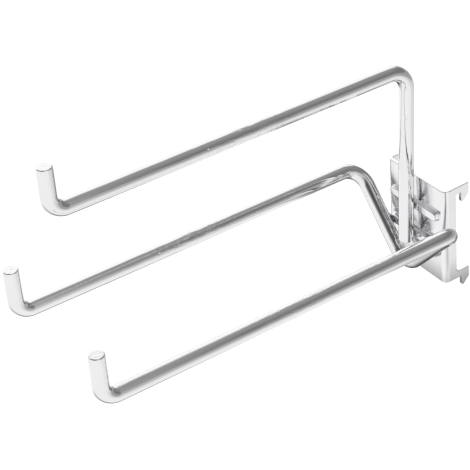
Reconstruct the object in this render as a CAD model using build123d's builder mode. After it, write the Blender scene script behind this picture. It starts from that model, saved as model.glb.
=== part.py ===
from build123d import *
import os

# Pliers holder that hangs in a slotted upright: a folded sheet bracket with three long wire arms.
# Millimetres. The origin is the hanging point: X = 0 on the plane of symmetry, Y = 0 on the face of the
# upright that the flanges lean against, and Z = 0 on the edges that the upper hooks rest on.
# +X is to the right seen from the front, +Y goes into the upright, and the arms point along -Y, tilted up.

# Sheet of the bracket
sheet_thickness = 2.0
fold_inside_radius = 1.0
bracket_width = 43.0
flange_depth = 7.3

# Hooks, two on each flange
hook_pitch = 50.0
hook_neck_height = 4.0
slot_gap = 3.2
finger_width = 4.65
finger_length = 5.9
finger_heel_drop = 2.0
finger_tip_bevel = 0.9
hook_corner_radius = 0.8
lower_relief_radius = 2.0

# Embossed ribs that the wires are welded to; the upper one's height holds at its middle
rib_width = 5.6
rib_height = 2.2
rib_end_gap = 0.6
rib_crown_bevel = 0.8
rib_groove_width = 2.8
upper_rib_level = 38.1
weld_inset = 0.4

# Wires: the tilt lifts the arms' tips, lengths run out from the ribs' crowns and levels up from the upper rib
wire_diameter = 7.5
arm_tilt = 2.1
arm_spacing = 75.0
upper_arm_length = 189.5
lower_arm_length = 196.0
upper_arm_level = 76.6
lower_arm_level = 5.4
upper_tip_rise = 22.2
lower_tip_rise = 24.2
tip_bend_radius = 7.5
rear_bend_radius = 11.0
vee_bend_radius = 10.0
vee_point_level = -35.6
leg_overrun = 3.4
tip_chamfer = 0.6
leg_end_chamfer = 1.2

# The plate runs from the lower hooks' bearing edge to the top of the upper hooks' necks
plate_bottom = -hook_pitch
plate_top = hook_neck_height
plate_front = -flange_depth
plate_rear = plate_front + sheet_thickness

# Plane of the ribs' crowns, with local X to the right, Y up the wires' legs and Z out along the arms
upper_rib_z = plate_bottom + upper_rib_level
crowns = Plane(origin=(0, plate_front - rib_height, upper_rib_z), x_dir=(1, 0, 0), z_dir=(0, -1, 0))
crowns = crowns.rotated((-arm_tilt, 0, 0))
wire_radius = wire_diameter / 2
arm_offset = arm_spacing / 2

# The lower rib lies where the legs of the V cross its two ends, and the upper arm's leg ends just below it
fold_outside_radius = fold_inside_radius + sheet_thickness
rib_length = bracket_width - 2 * (fold_outside_radius + rib_end_gap)
vee_slope = (lower_arm_level - vee_point_level) / arm_offset
lower_rib_level = vee_point_level + vee_slope * (rib_length / 2 - weld_inset)
leg_end_level = lower_rib_level - leg_overrun


def hook_corners(bearing_z):
    """Corners of one hook in the (Y, Z) plane with their radii, from its bearing edge round to its top."""
    rear = slot_gap + finger_width
    tip_z = bearing_z - finger_length
    return [
        ((slot_gap, bearing_z), 0),
        ((slot_gap, tip_z + finger_tip_bevel), 0),
        ((slot_gap + finger_tip_bevel, tip_z), 0),
        ((rear, bearing_z - finger_heel_drop), 0),
        ((rear, bearing_z + hook_neck_height), hook_corner_radius),
    ]


flange_corners = [
    ((plate_front, plate_bottom), 0),
    *hook_corners(plate_bottom),
    ((0, plate_bottom + hook_neck_height), lower_relief_radius),
    ((0, 0), 0),
    *hook_corners(0),
    ((plate_front, plate_top), 0),
]

# Bracket: a U section as tall and deep as the hooks reach, trimmed to the flanges' side outline
with BuildPart() as back_bracket:
    section_reach = slot_gap + finger_width
    section_bottom = plate_bottom - finger_length
    side_x = (bracket_width - sheet_thickness) / 2
    middle_y = plate_front + sheet_thickness / 2
    with BuildSketch(Plane.XY.offset(section_bottom)):
        with BuildLine():
            FilletPolyline(
                (-side_x, section_reach),
                (-side_x, middle_y),
                (side_x, middle_y),
                (side_x, section_reach),
                radius=fold_inside_radius + sheet_thickness / 2,
            )
        trace(line_width=sheet_thickness)
    extrude(amount=plate_top - section_bottom)
    with BuildSketch(Plane.YZ):
        with BuildLine():
            FilletPolyline(
                [corner for corner, _ in flange_corners],
                radius=[radius for _, radius in flange_corners],
                close=True,
            )
        make_face()
    extrude(amount=bracket_width, both=True, mode=Mode.INTERSECT)

    # Ribs, pressed forward out of the plate up to the wires, so that each leaves a groove behind it
    rib_levels = [(0, 0), (0, lower_rib_level)]
    with BuildSketch(crowns):
        with Locations(*rib_levels):
            SlotOverall(rib_length, rib_width)
    extrude(amount=-rib_height - sheet_thickness / 2)
    chamfer(faces().filter_by(crowns).edges(), rib_crown_bevel)
    groove_places = [(0, crowns.from_local_coords((*level, 0)).Z) for level in rib_levels]
    with BuildSketch(Plane(origin=(0, plate_rear, 0), x_dir=(1, 0, 0), z_dir=(0, -1, 0))):
        with Locations(*groove_places):
            SlotOverall(rib_length - rib_width + rib_groove_width, rib_groove_width)
    extrude(amount=rib_height, mode=Mode.SUBTRACT)
back_bracket.part.label = "back_bracket"

# Upper arm: upturned tip, straight arm, and a leg welded down the middle of the plate
with BuildPart() as upper_arm:
    with BuildLine(crowns) as upper_path:
        FilletPolyline(
            (0, upper_arm_level + upper_tip_rise, upper_arm_length),
            (0, upper_arm_level, upper_arm_length),
            (0, upper_arm_level, wire_radius),
            (0, leg_end_level, wire_radius),
            radius=[tip_bend_radius, rear_bend_radius],
        )
    with BuildSketch(Plane(upper_path.line @ 0, z_dir=upper_path.line % 0)):
        Circle(wire_radius)
    sweep(path=upper_path.line)
    upper_ends = upper_arm.faces().filter_by(GeomType.PLANE).sort_by(Axis.Z)
    chamfer(upper_ends[-1].edges(), tip_chamfer)
    chamfer(upper_arm.faces().filter_by(GeomType.PLANE).sort_by(Axis.Z)[0].edges(), leg_end_chamfer)
upper_arm.part.label = "upper_arm"

# Lower arms: one wire with two upturned tips, bent at the back into a V that lies on the lower rib
with BuildPart() as lower_arms:
    with BuildLine(crowns) as lower_path:
        FilletPolyline(
            (-arm_offset, lower_arm_level + lower_tip_rise, lower_arm_length),
            (-arm_offset, lower_arm_level, lower_arm_length),
            (-arm_offset, lower_arm_level, wire_radius),
            (0, vee_point_level, wire_radius),
            (arm_offset, lower_arm_level, wire_radius),
            (arm_offset, lower_arm_level, lower_arm_length),
            (arm_offset, lower_arm_level + lower_tip_rise, lower_arm_length),
            radius=[tip_bend_radius, rear_bend_radius, vee_bend_radius, rear_bend_radius, tip_bend_radius],
        )
    with BuildSketch(Plane(lower_path.line @ 0, z_dir=lower_path.line % 0)):
        Circle(wire_radius)
    sweep(path=lower_path.line)
    lower_ends = lower_arms.faces().filter_by(GeomType.PLANE)
    chamfer(lower_ends.edges(), tip_chamfer)
lower_arms.part.label = "lower_arms"

os.makedirs("parts", exist_ok=True)
for piece in (back_bracket, upper_arm, lower_arms):
    export_step(piece.part, f"parts/{piece.part.label}.step")
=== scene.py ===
import math

import bpy
from mathutils import Matrix, Vector, noise


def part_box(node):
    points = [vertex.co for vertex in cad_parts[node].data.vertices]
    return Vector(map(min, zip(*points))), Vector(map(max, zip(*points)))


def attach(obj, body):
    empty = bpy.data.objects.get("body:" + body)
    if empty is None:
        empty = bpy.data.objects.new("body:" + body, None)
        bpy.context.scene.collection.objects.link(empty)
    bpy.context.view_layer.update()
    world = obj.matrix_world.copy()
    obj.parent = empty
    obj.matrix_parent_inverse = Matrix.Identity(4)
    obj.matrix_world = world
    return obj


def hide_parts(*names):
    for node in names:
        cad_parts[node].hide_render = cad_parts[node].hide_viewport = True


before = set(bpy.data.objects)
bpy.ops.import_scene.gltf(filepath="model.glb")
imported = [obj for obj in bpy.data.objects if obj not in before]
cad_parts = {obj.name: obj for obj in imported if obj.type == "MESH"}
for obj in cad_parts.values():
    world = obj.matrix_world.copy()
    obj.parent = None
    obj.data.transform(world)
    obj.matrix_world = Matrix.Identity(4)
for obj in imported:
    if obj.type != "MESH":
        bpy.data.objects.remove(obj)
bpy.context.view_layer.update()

# Back bracket: one blank of 2 mm steel sheet, punched with four hooks, pressed with two cross ribs and
# folded into a shallow U. It is plated bright once the wires are welded on, so the plating covers the
# cut edges too.
mm = 0.001
bracket_low, bracket_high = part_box("back_bracket")
sheet_thickness = 2.0 * mm
flange_depth = 7.3 * mm
fold_outside_radius = 3.0 * mm
fold_steps = 14
edge_rounding = 0.35 * mm
edge_segments = 3
sharp_edge = math.radians(50)

finger_length = 5.9 * mm
finger_width = 4.65 * mm
finger_heel_drop = 2.0 * mm
finger_tip_bevel = 0.9 * mm
hook_neck_height = 4.0 * mm
hook_corner_radius = 0.8 * mm
slot_gap = 3.2 * mm
lower_relief_radius = 2.0 * mm
corner_steps = 7

arm_tilt = math.radians(2.1)
rib_height = 2.2 * mm
rib_crown_radius = 0.6 * mm
rib_root_radius = 0.4 * mm
rib_slope = math.radians(77)
rib_half_width = 2.9 * mm
rib_half_length = 17.9 * mm
groove_half_width = 2.0 * mm
groove_radius = 0.3 * mm
upper_rib_level = 38.1 * mm
rib_pitch = 16.47 * mm
rib_root_steps = 5
rib_crown_steps = 6
rib_end_steps = 16

half_width = bracket_high.x
plate_top = bracket_high.z
plate_bottom = bracket_low.z + finger_length
plate_front = -flange_depth
upper_rib = plate_bottom + upper_rib_level
lower_rib = upper_rib - rib_pitch * math.cos(arm_tilt)
flat_half = half_width - fold_outside_radius
flange_start = flat_half + fold_outside_radius * math.pi / 2
flange_front = plate_front + fold_outside_radius


def folded(run, height, inset):
    """Where a point of the flat blank lies after folding: run is along the blank from its middle, inset is
    the depth under the outer skin."""
    side = math.copysign(1, run)
    along = abs(run)
    if along <= flat_half:
        x, y = along, plate_front + inset
    elif along < flange_start:
        turn = (along - flat_half) / fold_outside_radius
        reach = fold_outside_radius - inset
        x = flat_half + reach * math.sin(turn)
        y = flange_front - reach * math.cos(turn)
    else:
        x, y = half_width - inset, flange_front + along - flange_start
    return Vector((side * x, y, height))


def rounded(corners):
    """The points of an outline whose corners are (place, radius), with an arc at each corner that has a
    radius."""
    points = []
    for index, (corner, radius) in enumerate(corners):
        if not radius:
            points.append(corner)
            continue
        before = (corners[index - 1][0] - corner).normalized()
        after = (corners[(index + 1) % len(corners)][0] - corner).normalized()
        half = before.angle(after) / 2
        centre = corner + (before + after).normalized() * (radius / math.sin(half))
        start = corner + before * (radius / math.tan(half)) - centre
        turn = start.angle_signed(corner + after * (radius / math.tan(half)) - centre)
        for step in range(corner_steps + 1):
            points.append(centre + Matrix.Rotation(-turn * step / corner_steps, 2) @ start)
    return points


def hook_corners(bearing):
    """One hook's corners on the flat blank, from the edge that it hangs by round to its top."""
    front = flange_start + slot_gap - flange_front
    rear = front + finger_width
    tip = bearing - finger_length
    return [
        (Vector((front, bearing)), 0),
        (Vector((front, tip + finger_tip_bevel)), 0),
        (Vector((front + finger_tip_bevel, tip)), 0),
        (Vector((rear, bearing - finger_heel_drop)), 0),
        (Vector((rear, bearing + hook_neck_height)), hook_corner_radius),
    ]


class Blank:
    """The flat blank as it is drawn: corners with their lift in front and behind, and the faces on them."""

    # Corners that agree to this many decimals of a metre are one corner
    digits = 7

    def __init__(self):
        self.corners = []
        self.index = {}
        self.faces = []

    def corner(self, run, height, front=0.0, behind=0.0):
        """The number of this corner, which the faces that meet there share."""
        key = tuple(round(number, self.digits) for number in (run, height, front, behind))
        if key not in self.index:
            self.index[key] = len(self.corners)
            self.corners.append((run, height, front, behind))
        return self.index[key]

    def face(self, corners):
        self.faces.append(corners)

    def rim(self):
        """Edges that only one face has, in that face's direction."""
        edges = {(a, b) for f in self.faces for a, b in zip(f, f[1:] + f[:1])}
        return sorted(edge for edge in edges if edge[::-1] not in edges)


blank = Blank()

# Each rib is a set of closed rings, from its root on the plate to the middle of its crown. In front it has
# a rounded root, a sloping side and a rounded crown, and behind it there is a groove with the same slope.


def arc(centre, radius, start, end, steps):
    """Points of an arc as (distance, lift) pairs, with its angles in degrees."""
    turns = [math.radians(start + (end - start) * step / steps) for step in range(steps + 1)]
    return [(centre[0] + radius * math.cos(t), centre[1] + radius * math.sin(t)) for t in turns]


def pressed(half_width, root_radius, crown_radius):
    """One side of a pressed rib as (distance from its middle line, lift) pairs, from its root to its
    crown."""
    slope = math.degrees(rib_slope)
    root = arc((half_width, root_radius), root_radius, 270, 270 - slope, rib_root_steps)
    edge = arc((0, rib_height - crown_radius), crown_radius, 90 - slope, 90, rib_crown_steps)
    side_width = (edge[0][1] - root[-1][1]) / math.tan(rib_slope)
    crown_edge = root[-1][0] - side_width - edge[0][0]
    return root + [(crown_edge + distance, lift) for distance, lift in edge]


def lift_at(curve, distance):
    """How far a rib or its groove stands out from the plate at this distance from its middle line."""
    for (far, low), (near, high) in zip(curve, curve[1:]):
        if near <= distance <= far:
            return low + (high - low) * (far - distance) / (far - near)
    return 0.0 if distance > curve[0][0] else curve[-1][1]


front_curve = pressed(rib_half_width, rib_root_radius, rib_crown_radius)
groove_curve = pressed(groove_half_width, groove_radius, groove_radius)
rib_distances = {round(distance, Blank.digits) for distance, lift in front_curve + groove_curve}
rib_rings = [
    (distance, lift_at(front_curve, distance), lift_at(groove_curve, distance))
    for distance in sorted(rib_distances, reverse=True)
]
rib_straight = rib_half_length - rib_half_width


def rib_ring(height, distance, front, behind):
    """One closed ring round a rib's middle line, from below its right end over the top to below its left
    end. The ribs grow taller downwards, because their crowns lean with the wires welded to them."""
    ring = []
    for end in (1, -1):
        for step in range(rib_end_steps + 1):
            turn = math.pi * (step / rib_end_steps - end / 2)
            run = end * rib_straight + distance * math.cos(turn)
            place = height + distance * math.sin(turn)
            taller = 1 + (upper_rib - place) * math.tan(arm_tilt) / rib_height
            ring.append(blank.corner(run, place, front * taller, behind))
    return ring


right_end = rib_end_steps // 2
left_end = right_end + rib_end_steps + 1
rib_roots = []
for rib in (lower_rib, upper_rib):
    rings = [rib_ring(rib, *ring) for ring in rib_rings]
    for outer, inner in zip(rings, rings[1:]):
        for a in range(len(outer)):
            b = (a + 1) % len(outer)
            blank.face([outer[a], outer[b], inner[b], inner[a]])
    blank.face(rings[-1])
    rib_roots.append({
        "over": rings[0][right_end:left_end + 1],
        "under": rings[0][left_end:] + rings[0][:right_end + 1],
    })

# The plate lies below, between and above the two ribs
levels = [plate_bottom, lower_rib, upper_rib, plate_top]
lower_root, upper_root = rib_roots
left_side = [blank.corner(-flat_half, level) for level in levels]
right_side = [blank.corner(flat_half, level) for level in levels]
blank.face([left_side[0], right_side[0], right_side[1], *lower_root["under"][::-1], left_side[1]])
blank.face([
    left_side[1], *lower_root["over"][::-1], right_side[1],
    right_side[2], *upper_root["under"][::-1], left_side[2],
])
blank.face([left_side[2], *upper_root["over"][::-1], right_side[2], right_side[3], left_side[3]])

# The folds are strips between the plate and the flanges, and each flange is one outline with its two hooks
upright_face = flange_start - flange_front
flange_corners = [
    (Vector((flange_start, plate_bottom)), 0),
    *hook_corners(plate_bottom),
    (Vector((upright_face, plate_bottom + hook_neck_height)), lower_relief_radius),
    (Vector((upright_face, 0.0)), 0),
    *hook_corners(0.0),
    (Vector((flange_start, plate_top)), 0),
    (Vector((flange_start, upper_rib)), 0),
    (Vector((flange_start, lower_rib)), 0),
]
flange_outline = rounded(flange_corners)
fold_length = flange_start - flat_half
fold_runs = [flat_half + fold_length * step / fold_steps for step in range(fold_steps + 1)]
for side in (1, -1):
    for near, far in zip(fold_runs, fold_runs[1:]):
        for low, high in zip(levels, levels[1:]):
            strip = [(near, low), (far, low), (far, high), (near, high)][::side]
            blank.face([blank.corner(side * run, height) for run, height in strip])
    blank.face([blank.corner(side * point.x, point.y) for point in flange_outline[::side]])


def placed(name, data):
    """A new object in the scene, with this mesh, lamp or camera."""
    thing = bpy.data.objects.new(name, data)
    bpy.context.scene.collection.objects.link(thing)
    return thing


front_skin = [folded(run, height, -front) for run, height, front, behind in blank.corners]
rear_skin = [folded(run, height, sheet_thickness - behind) for run, height, front, behind in blank.corners]
behind_first = len(front_skin)
bracket_faces = list(blank.faces)
bracket_faces += [[behind_first + corner for corner in reversed(face)] for face in blank.faces]
bracket_faces += [[b, a, behind_first + a, behind_first + b] for a, b in blank.rim()]
bracket_mesh = bpy.data.meshes.new("folded_bracket")
bracket_mesh.from_pydata(front_skin + rear_skin, [], bracket_faces)
bracket_mesh.shade_smooth()
bracket = placed("folded_bracket", bracket_mesh)
edges = bracket.modifiers.new("rounded_edges", "BEVEL")
edges.width = edge_rounding
edges.segments = edge_segments
edges.limit_method = "ANGLE"
edges.angle_limit = sharp_edge
edges.use_clamp_overlap = False
bracket.modifiers.new("flat_faces", "WEIGHTED_NORMAL")


class Socket:
    """One output of a material's nodes. Arithmetic on it adds the Math nodes that work it out."""

    def __init__(self, tree, output):
        self.tree = tree
        self.output = output

    @classmethod
    def node(cls, tree, kind, settings=None, inputs=None, output=0):
        """Adds a node of this kind, with its settings first, then the values or links of its sockets."""
        node = tree.nodes.new("ShaderNode" + kind)
        for name, value in (settings or {}).items():
            if name == "stops":
                ramp = node.color_ramp.elements
                while len(ramp) < len(value):
                    ramp.new(1.0)
                for element, (place, level) in zip(ramp, value):
                    element.position = place
                    element.color = (level, level, level, 1.0)
            else:
                setattr(node, name, value)
        for name, value in (inputs or {}).items():
            if isinstance(value, cls):
                tree.links.new(value.output, node.inputs[name])
            else:
                node.inputs[name].default_value = value
        return cls(tree, node.outputs[output])

    def other(self, output):
        """Another output of the same node."""
        return Socket(self.tree, self.output.node.outputs[output])

    def feeds(self, shader, name):
        """Links this output to a socket of the shader."""
        self.tree.links.new(self.output, shader.inputs[name])

    def ramp(self, stops):
        """The level between the (place, level) stops that this value lies at."""
        return Socket.node(self.tree, "ValToRGB", {"stops": stops}, {"Fac": self}, output="Color")

    def cloud(self, scale, detail):
        """A soft random level at this place, with about as many lumps to the metre as the scale says."""
        inputs = {"Vector": self, "Scale": scale, "Detail": detail}
        return Socket.node(self.tree, "TexNoise", inputs=inputs, output="Fac")

    def blend(self, colour, shade):
        """The first colour where this level is 0, the second where it is 1."""
        inputs = {"Factor": self, "A": colour, "B": shade}
        return Socket.node(self.tree, "Mix", {"data_type": "RGBA"}, inputs, output="Result")

    def relief(self, depth, strength=1.0):
        """The surface normal where this level stands up to this depth out of the surface."""
        inputs = {"Strength": strength, "Distance": depth, "Height": self}
        return Socket.node(self.tree, "Bump", inputs=inputs, output="Normal")

    def math(self, operation, first, second):
        return Socket.node(self.tree, "Math", {"operation": operation}, {0: first, 1: second})

    def __add__(self, other):
        return self.math("ADD", self, other)

    __radd__ = __add__

    def __sub__(self, other):
        return self.math("SUBTRACT", self, other)

    def __rsub__(self, other):
        return self.math("SUBTRACT", other, self)

    def __mul__(self, other):
        return self.math("MULTIPLY", self, other)

    __rmul__ = __mul__

    def __or__(self, other):
        return self.math("MAXIMUM", self, other)


def new_material(name):
    """A material with a plain metal surface, the tree that its nodes go in, and that surface."""
    material = bpy.data.materials.new(name)
    material.use_nodes = True
    surface = material.node_tree.nodes["Principled BSDF"]
    surface.inputs["Metallic"].default_value = 1.0
    return material, material.node_tree, surface


# Plating on the sheet: bright, with the soft mottle and the fine grain of rolled steel under it
sheet_colour = (0.92, 0.92, 0.93, 1.0)
sheet_shade = (0.87, 0.87, 0.885, 1.0)
sheet_roughness = 0.14
mottle_roughness = 0.06
mottle_scale = 220.0
grain_scale = 2600.0
grain_depth = 0.02 * mm
grain_strength = 0.01
plated_sheet, tree, surface = new_material("plated_sheet")
place = Socket.node(tree, "TexCoord", output="Object")
mottle = place.cloud(mottle_scale, detail=4.0)
grain = place.cloud(grain_scale, detail=2.0)
mottle.blend(sheet_colour, sheet_shade).feeds(surface, "Base Color")
(sheet_roughness + mottle_roughness * mottle).feeds(surface, "Roughness")
grain.relief(grain_depth, grain_strength).feeds(surface, "Normal")
bracket_mesh.materials.append(plated_sheet)

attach(bracket, "root")
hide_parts("back_bracket")

# Upper arm: one round steel wire, cut to length, chamfered and bent cold. Its arm ends in an upturned tip,
# and its leg runs down the middle of the plate and is welded to the crowns of both ribs.
wire_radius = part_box("upper_arm")[1].x
wire_sides = 96
bend_step = math.radians(3)
bend_flattening = 0.025
tip_bend_radius = 7.5 * mm
rear_bend_radius = 11.0 * mm
tip_chamfer = 0.6 * mm
leg_end_chamfer = 1.2 * mm
upper_arm_level = 76.6 * mm
upper_arm_length = 189.5 * mm
upper_tip_rise = 22.2 * mm
leg_overrun = 3.4 * mm


def welded(x, level, out):
    """Where a point of the wires lies: level is up the leg from the upper rib, and out is along the arms
    from the ribs' crowns, which lean so that the arms rise towards their tips."""
    lean = Matrix.Rotation(-arm_tilt, 3, "X")
    return Vector((0, plate_front - rib_height, upper_rib)) + lean @ Vector((x, -out, level))


def wire_stations(corners, bend_radii, end_chamfers):
    """The wire's cross sections from end to end. Each has its middle, its two cross directions, its way
    along the wire, its radius, and in a bend the direction inwards and how much it is squeezed that way."""
    first_chamfer, last_chamfer = end_chamfers
    direction = (corners[1] - corners[0]).normalized()
    across = Vector((1, 0, 0))
    up = direction.cross(across)
    along = 0.0
    last = corners[0]
    unbent = (Vector(), 0.0)
    near_start = last + direction * first_chamfer
    stations = [
        (last, across, up, 0.0, wire_radius - first_chamfer, *unbent),
        (near_start, across, up, first_chamfer, wire_radius, *unbent),
    ]
    for corner, following, radius in zip(corners[1:], corners[2:], bend_radii):
        leaving = (following - corner).normalized()
        turn = direction.angle(leaving)
        axis = direction.cross(leaving).normalized()
        reach = radius * math.tan(turn / 2)
        start = corner - direction * reach
        centre = start + axis.cross(direction) * radius
        along += (start - last).length
        steps = math.ceil(turn / bend_step)
        for step in range(steps + 1):
            share = step / steps
            spin = Matrix.Rotation(turn * share, 3, axis)
            squeeze = bend_flattening * math.sin(math.pi * share) ** 2
            inward = spin @ (centre - start).normalized()
            stations.append((
                centre + spin @ (start - centre), spin @ across, spin @ up,
                along + radius * turn * share, wire_radius, inward, squeeze,
            ))
        across, up = spin @ across, spin @ up
        along += radius * turn
        last = corner + leaving * reach
        direction = leaving
    along += (corners[-1] - last).length
    end = corners[-1]
    near_end = end - direction * last_chamfer
    stations.append((near_end, across, up, along - last_chamfer, wire_radius, *unbent))
    stations.append((end, across, up, along, wire_radius - last_chamfer, *unbent))
    return stations


def bent_wire(name, corners, bend_radii, end_chamfers, material):
    """A round wire through these corners, bent to these radii. Each of its points also keeps where it lay
    on the straight wire, so that the marks of drawing follow the bends, and whether it is on a cut end."""
    stations = wire_stations(corners, bend_radii, end_chamfers)
    points, drawn = [], []
    for middle, across, up, way, radius, inward, squeeze in stations:
        for side in range(wire_sides):
            turn = 2 * math.pi * side / wire_sides
            spoke = across * math.cos(turn) + up * math.sin(turn)
            spoke -= inward * (inward.dot(spoke) * squeeze)
            points.append(middle + spoke * radius)
            drawn.append((way, radius * math.cos(turn), radius * math.sin(turn)))
    faces = []
    for ring in range(len(stations) - 1):
        for side in range(wire_sides):
            a = ring * wire_sides + side
            b = ring * wire_sides + (side + 1) % wire_sides
            faces.append([a, b, b + wire_sides, a + wire_sides])
    faces.append(list(range(wire_sides))[::-1])
    faces.append(list(range(len(points) - wire_sides, len(points))))
    mesh = bpy.data.meshes.new(name)
    mesh.from_pydata(points, [], faces)
    mesh.shade_smooth()
    straight_wire = mesh.attributes.new("straight_wire", "FLOAT_VECTOR", "POINT")
    straight_wire.data.foreach_set("vector", [number for point in drawn for number in point])
    cut_end = mesh.attributes.new("cut_end", "FLOAT", "POINT")
    end_ring = [1.0] * wire_sides
    between = [0.0] * (len(points) - 2 * wire_sides)
    cut_end.data.foreach_set("value", end_ring + between + end_ring)
    mesh.materials.append(material)
    wire = placed(name, mesh)
    wire.modifiers.new("flat_ends", "WEIGHTED_NORMAL")
    return wire


# Plating on the wire: a mirror over what drawing the wire left, which is a slow ripple, patches of fine
# marks along the wire and a few pits. The cut ends still show the marks of the saw.
wire_colour = (0.88, 0.88, 0.89, 1.0)
wire_shade = (0.82, 0.82, 0.83, 1.0)
wire_roughness = 0.01
blotch_roughness = 0.015
pit_roughness = 0.1
blotch_scale = 90.0
drawing_stretch = (0.2, 1.0, 1.0)
streak_scale = 1100.0
streak_depth = 0.15 * mm
ripple_scale = 260.0
ripple_depth = 0.09 * mm
patch_scale = 14.0
pit_radius = 0.7 * mm
pit_depth = 0.4 * mm
pit_density = 120.0
saw_scale = 900.0
saw_depth = 0.3 * mm
plated_wire, tree, surface = new_material("plated_wire")
straight = Socket.node(tree, "Attribute", {"attribute_name": "straight_wire"}, output="Vector")
drawn_out = Socket.node(tree, "VectorMath", {"operation": "MULTIPLY"}, {0: straight, 1: drawing_stretch})
blotch = straight.cloud(blotch_scale, detail=3.0)
ripple = drawn_out.cloud(ripple_scale, detail=1.0)
patches = straight.cloud(patch_scale, detail=1.0).ramp([(0.5, 0.05), (0.6, 1.0)])
streaks = drawn_out.cloud(streak_scale, detail=2.0) * patches
pit_distance = Socket.node(
    tree, "TexVoronoi", inputs={"Vector": straight, "Scale": pit_density}, output="Distance",
)
pits = (pit_distance * (1 / pit_density / pit_radius)).ramp([(0.0, 1.0), (1.0, 0.0)])
cut_end = Socket.node(tree, "Attribute", {"attribute_name": "cut_end"}, output="Fac")
sawn = cut_end * straight.cloud(saw_scale, detail=3.0)
marks_in_metres = streak_depth * streaks + ripple_depth * ripple + saw_depth * sawn - pit_depth * pits
blotch.blend(wire_colour, wire_shade).feeds(surface, "Base Color")
(wire_roughness + blotch_roughness * blotch + pit_roughness * pits).feeds(surface, "Roughness")
marks_in_metres.relief(depth=1.0).feeds(surface, "Normal")

upper_arm = bent_wire(
    "upper_arm_wire",
    [
        welded(0, upper_arm_level + upper_tip_rise, upper_arm_length),
        welded(0, upper_arm_level, upper_arm_length),
        welded(0, upper_arm_level, wire_radius),
        welded(0, -rib_pitch - leg_overrun, wire_radius),
    ],
    [tip_bend_radius, rear_bend_radius],
    (tip_chamfer, leg_end_chamfer),
    plated_wire,
)
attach(upper_arm, "root")
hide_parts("upper_arm")

# Lower arms: one more length of the same wire with an upturned tip at each end. Its middle is bent to a V
# that lies on the lower rib and is welded to the rib's two ends.
arm_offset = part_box("lower_arms")[1].x - wire_radius
vee_bend_radius = 10.0 * mm
lower_arm_level = 5.4 * mm
lower_arm_length = 196.0 * mm
lower_tip_rise = 24.2 * mm
vee_point_level = -35.6 * mm
lower_arms = bent_wire(
    "lower_arms_wire",
    [
        welded(-arm_offset, lower_arm_level + lower_tip_rise, lower_arm_length),
        welded(-arm_offset, lower_arm_level, lower_arm_length),
        welded(-arm_offset, lower_arm_level, wire_radius),
        welded(0, vee_point_level, wire_radius),
        welded(arm_offset, lower_arm_level, wire_radius),
        welded(arm_offset, lower_arm_level, lower_arm_length),
        welded(arm_offset, lower_arm_level + lower_tip_rise, lower_arm_length),
    ],
    [tip_bend_radius, rear_bend_radius, vee_bend_radius, rear_bend_radius, tip_bend_radius],
    (tip_chamfer, tip_chamfer),
    plated_wire,
)
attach(lower_arms, "root")
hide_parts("lower_arms")

# Welds: where each wire crosses a rib, the two were melted together, which left a flat, uneven bead that
# fills the wedge on both sides of the wire. The plating over it is dull, and its dark colour is partly
# painted shade of that wedge between wire and rib.
weld_across = 3.0 * mm
weld_along = 1.7 * mm
weld_out = 0.9 * mm
weld_unevenness = 0.22
weld_lumps = 2.2
weld_variety = 400
weld_rings = 14
weld_sides = 28
weld_colour_and_painted_shade = (0.5, 0.5, 0.51, 1.0)
weld_dark_and_painted_shade = (0.2, 0.19, 0.19, 1.0)
weld_roughness = 0.25
weld_grain_scale = 1500.0
vee_slope = (lower_arm_level - vee_point_level) / arm_offset
vee_crossing = (vee_point_level + rib_pitch) / -vee_slope
weld_places = [(0, 0), (0, -rib_pitch), (-vee_crossing, -rib_pitch), (vee_crossing, -rib_pitch)]
weld_points, weld_faces = [], []


def bead_point(x, level, tilt, turn):
    """Adds one point of the bead at this place and gives its number. Tilt and turn are the angles from the
    arms' direction and round it at which the point lies, seen from the bead's middle."""
    way = Vector((math.sin(tilt) * math.cos(turn), math.sin(tilt) * math.sin(turn), math.cos(tilt)))
    size = 1 + weld_unevenness * noise.noise(way * weld_lumps + Vector((x, level, 0)) * weld_variety)
    weld_points.append(welded(
        x + weld_across * size * way.x, level + weld_along * size * way.y, weld_out * size * way.z,
    ))
    return len(weld_points) - 1


for x, level in weld_places:
    rings = [[bead_point(x, level, 0, 0)] * weld_sides]
    for ring in range(1, weld_rings):
        tilt = math.pi * ring / weld_rings
        turns = [2 * math.pi * side / weld_sides for side in range(weld_sides)]
        rings.append([bead_point(x, level, tilt, turn) for turn in turns])
    rings.append([bead_point(x, level, math.pi, 0)] * weld_sides)
    for outer, inner in zip(rings, rings[1:]):
        for side in range(weld_sides):
            after = (side + 1) % weld_sides
            corners = [outer[side], inner[side], inner[after], outer[after]]
            weld_faces.append(list(dict.fromkeys(corners)))
weld_mesh = bpy.data.meshes.new("weld_beads")
weld_mesh.from_pydata(weld_points, [], weld_faces)
weld_mesh.shade_smooth()
welds = placed("weld_beads", weld_mesh)
dull_weld_and_painted_shade, tree, surface = new_material("dull_weld_and_painted_shade")
weld_grain = Socket.node(tree, "TexCoord", output="Object").cloud(weld_grain_scale, detail=3.0)
# Dull plating, darkened further with painted shade for the wedge between wire and rib
weld_grain.blend(weld_colour_and_painted_shade, weld_dark_and_painted_shade).feeds(surface, "Base Color")
(weld_roughness + weld_roughness * weld_grain).feeds(surface, "Roughness")
weld_mesh.materials.append(dull_weld_and_painted_shade)
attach(welds, "root")

# Studio: a white floor well below the holder and white all round, with one large soft lamp at the left.
# Bright plating shows little but what stands round it, so reflections see a room with darker parts instead.
floor_level = -0.35
floor_half = 6.0
floor_colour = (0.95, 0.95, 0.95, 1.0)
floor_roughness = 0.9


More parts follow.
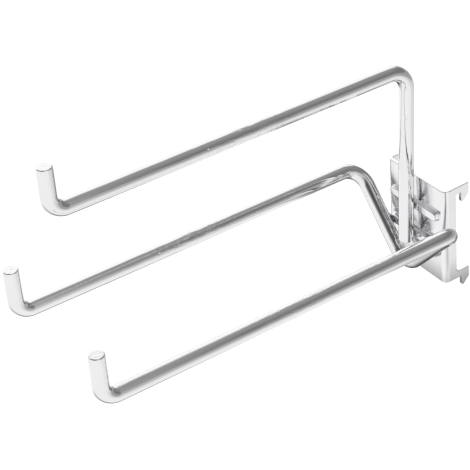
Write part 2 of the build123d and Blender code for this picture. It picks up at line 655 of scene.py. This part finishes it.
def stage_sheet(name, level, half, finish, colour, roughness):
    """A square sheet that lies level and has a matte finish, the tree of that finish, and its surface."""
    mesh = bpy.data.meshes.new(name)
    corners = [(-half, -half, 0), (half, -half, 0), (half, half, 0), (-half, half, 0)]
    mesh.from_pydata(corners, [], [[0, 1, 2, 3]])
    sheet = placed(name, mesh)
    sheet.location.z = level
    material, tree, surface = new_material(finish)
    surface.inputs["Base Color"].default_value = colour
    surface.inputs["Metallic"].default_value = 0.0
    surface.inputs["Roughness"].default_value = roughness
    surface.inputs["Specular IOR Level"].default_value = 0.0
    mesh.materials.append(material)
    return sheet, tree, surface


floor, tree, surface = stage_sheet(
    "floor", floor_level, floor_half, "white_floor", floor_colour, floor_roughness,
)
floor.visible_glossy = False

# Painted shade, which only reflections show: a dark sheet under the holder that darkens the reflections
# in the lower parts of the bracket and wires. It ends at its right and front edges, with a paler patch
# of painted shade beyond the right edge
painted_shade_level = -0.062
painted_shade_half = 0.09
painted_shade_colour = (0.02, 0.02, 0.02, 1.0)
painted_shade_roughness = 1.0
shade_patch_place = (0.06, -0.015, 0)
shade_patch_reach = 50 * mm


def ramp_place(value):
    """A value that runs from -1 to 1, brought to the 0 to 1 that a ramp has."""
    return 0.5 + 0.5 * value


painted_shade_sheet, tree, surface = stage_sheet(
    "painted_shade_sheet", painted_shade_level, painted_shade_half, "painted_shade", painted_shade_colour, painted_shade_roughness,
)
painted_shade_sheet.visible_camera = False
painted_shade_sheet.visible_diffuse = False
painted_shade_sheet.visible_shadow = False
place = Socket.node(tree, "TexCoord", output="Object")
across = Socket.node(tree, "SeparateXYZ", inputs={"Vector": place}, output="X")
deep = across.other("Y")
# Where the painted shade shows: inside the sheet's right and front edges, and in a paler patch beyond its
# right edge
shade_right_edge = ramp_place(across * (1 / painted_shade_half)).ramp([(0.64, 1.0), (0.77, 0.0)])
shade_front_edge = ramp_place(deep * (1 / painted_shade_half)).ramp([(0.345, 0.0), (0.42, 0.7)])
to_foot = Socket.node(
    tree, "VectorMath", {"operation": "DISTANCE"}, {0: place, 1: shade_patch_place}, output="Value",
)
shade_patch = (to_foot * (1 / shade_patch_reach)).ramp([(0.1, 0.4), (0.6, 0.0)])
(shade_right_edge * shade_front_edge | shade_patch).feeds(surface, "Alpha")

# The room that reflections see, by the direction in which they look: first a level from the pale floor up
# to the dim ceiling, which gives the bright wires their dark stripe
ceiling_tilt = 0.34
ceiling_shift = 0.148
lamp_wall_side = (-0.80, 0.35, 0.49)
lamp_wall_level = 1.12
corner_shade = 0.6
world = bpy.data.worlds.new("white_studio")
world.use_nodes = True
bpy.context.scene.world = world
tree = world.node_tree
background = tree.nodes["Background"]
direction = Socket.node(tree, "TexCoord", output="Generated")
east = Socket.node(tree, "SeparateXYZ", inputs={"Vector": direction}, output="X")
north = east.other("Y")
height = east.other("Z")
west = 0.0 - east
south = 0.0 - north
depth = 0.0 - height
room = ramp_place(height + ceiling_tilt * north - ceiling_shift).ramp([
    (0.0, 1.0), (0.165, 0.95), (0.215, 0.92), (0.275, 0.8), (0.34, 0.72), (0.402, 0.68), (0.41, 0.44),
    (0.5, 0.4), (0.631, 0.36), (0.638, 0.21), (0.789, 0.21), (0.8545, 0.25), (0.911, 0.295),
    (0.9415, 0.33), (1.0, 0.38),
])

# The front wall, pale below and dark above
front = ramp_place(south).ramp([(0.45, 0.0), (0.68, 1.0)])
front_wall = ramp_place(height).ramp([(0.575, 1.0), (0.66, 0.49), (0.725, 0.17), (0.79, 0.09)])
room = room + front * (front_wall - room)

# An upright strip of light at the right
strip_light = ramp_place(north).ramp([
    (0.38, 0.0), (0.45, 0.4), (0.51, 0.8), (0.56, 0.75), (0.63, 0.45), (0.72, 0.0),
])
strip_light = strip_light * east.ramp([(0.35, 0.0), (0.55, 1.0)])
room = room + strip_light * (1 - room)

# The bright wall at the left, behind the lamp
lamp_wall = Socket.node(
    tree, "VectorMath", {"operation": "DOT_PRODUCT"}, {0: direction, 1: lamp_wall_side}, output="Value",
)
wall_glow = lamp_wall.ramp([
    (0.68, 0.0), (0.79, 0.14), (0.825, 0.22), (0.84, 0.9), (0.93, 0.95), (0.99, 1.0),
])
wall_glow = wall_glow | west.ramp([(0.74, 0.0), (0.80, 1.0)])
reflected = room + wall_glow * (lamp_wall_level - room)

# The shaded corner low down at the left and behind, and the dark floor under the left side
corner = west.ramp([(0.4, 0.0), (0.6, 1.0)]) * depth.ramp([(0.52, 0.0), (0.68, 1.0)])
corner = corner * north.ramp([(0.12, 0.0), (0.3, 1.0)])
reflected = reflected * (1 - corner_shade * corner)
below = depth.ramp([(0.62, 0.0), (0.74, 1.0)]) * west.ramp([(0.0, 0.0), (0.28, 1.0)])
below = below * ramp_place(north).ramp([
    (0.12, 0.0), (0.36, 0.4), (0.54, 0.85), (0.665, 0.97), (0.70, 0.0),
])
reflected = reflected * (1 - below)
glossy = Socket.node(tree, "LightPath", output="Is Glossy Ray")
(1 - glossy * (1 - reflected)).feeds(background, "Color")

# The soft lamp, which reflections don't show because the bright wall stands for it there
lamp_place = Vector((-0.95, 0.55, 0.85))
lamp_aim = Vector((0, -0.1, 0))
lamp_energy = 6.0
lamp_size = 1.2
lamp = placed("soft_lamp", bpy.data.lights.new("soft_lamp", "AREA"))
lamp.data.energy = lamp_energy
lamp.data.size = lamp_size
lamp.visible_glossy = False
lamp.location = lamp_place
lamp.rotation_euler = (lamp_aim - lamp_place).to_track_quat("-Z", "Y").to_euler()

# Camera: to the right of the holder and above it, rolled a little and with a long lens, so that the arms
# come forward to the left and stay nearly parallel.
camera_place = Vector((0.4938, -0.4035, 0.4323))
camera_azimuth = math.radians(59.347)
camera_elevation = math.radians(35.771)
camera_roll = math.radians(-6.447)
camera_lens = 121.02
camera_sensor = 36.0
camera = placed("camera", bpy.data.cameras.new("camera"))
camera.data.lens = camera_lens
camera.data.sensor_width = camera_sensor
towards_camera = Vector((
    math.sin(camera_azimuth) * math.cos(camera_elevation),
    -math.cos(camera_azimuth) * math.cos(camera_elevation),
    math.sin(camera_elevation),
))
level_right = Vector((math.cos(camera_azimuth), math.sin(camera_azimuth), 0))
right = Matrix.Rotation(camera_roll, 3, towards_camera) @ level_right
up = towards_camera.cross(right)
axes = Matrix((right, up, towards_camera)).transposed()
camera.matrix_world = Matrix.Translation(camera_place) @ axes.to_4x4()
bpy.context.scene.camera = camera

bpy.context.scene.view_settings.view_transform = "Standard"
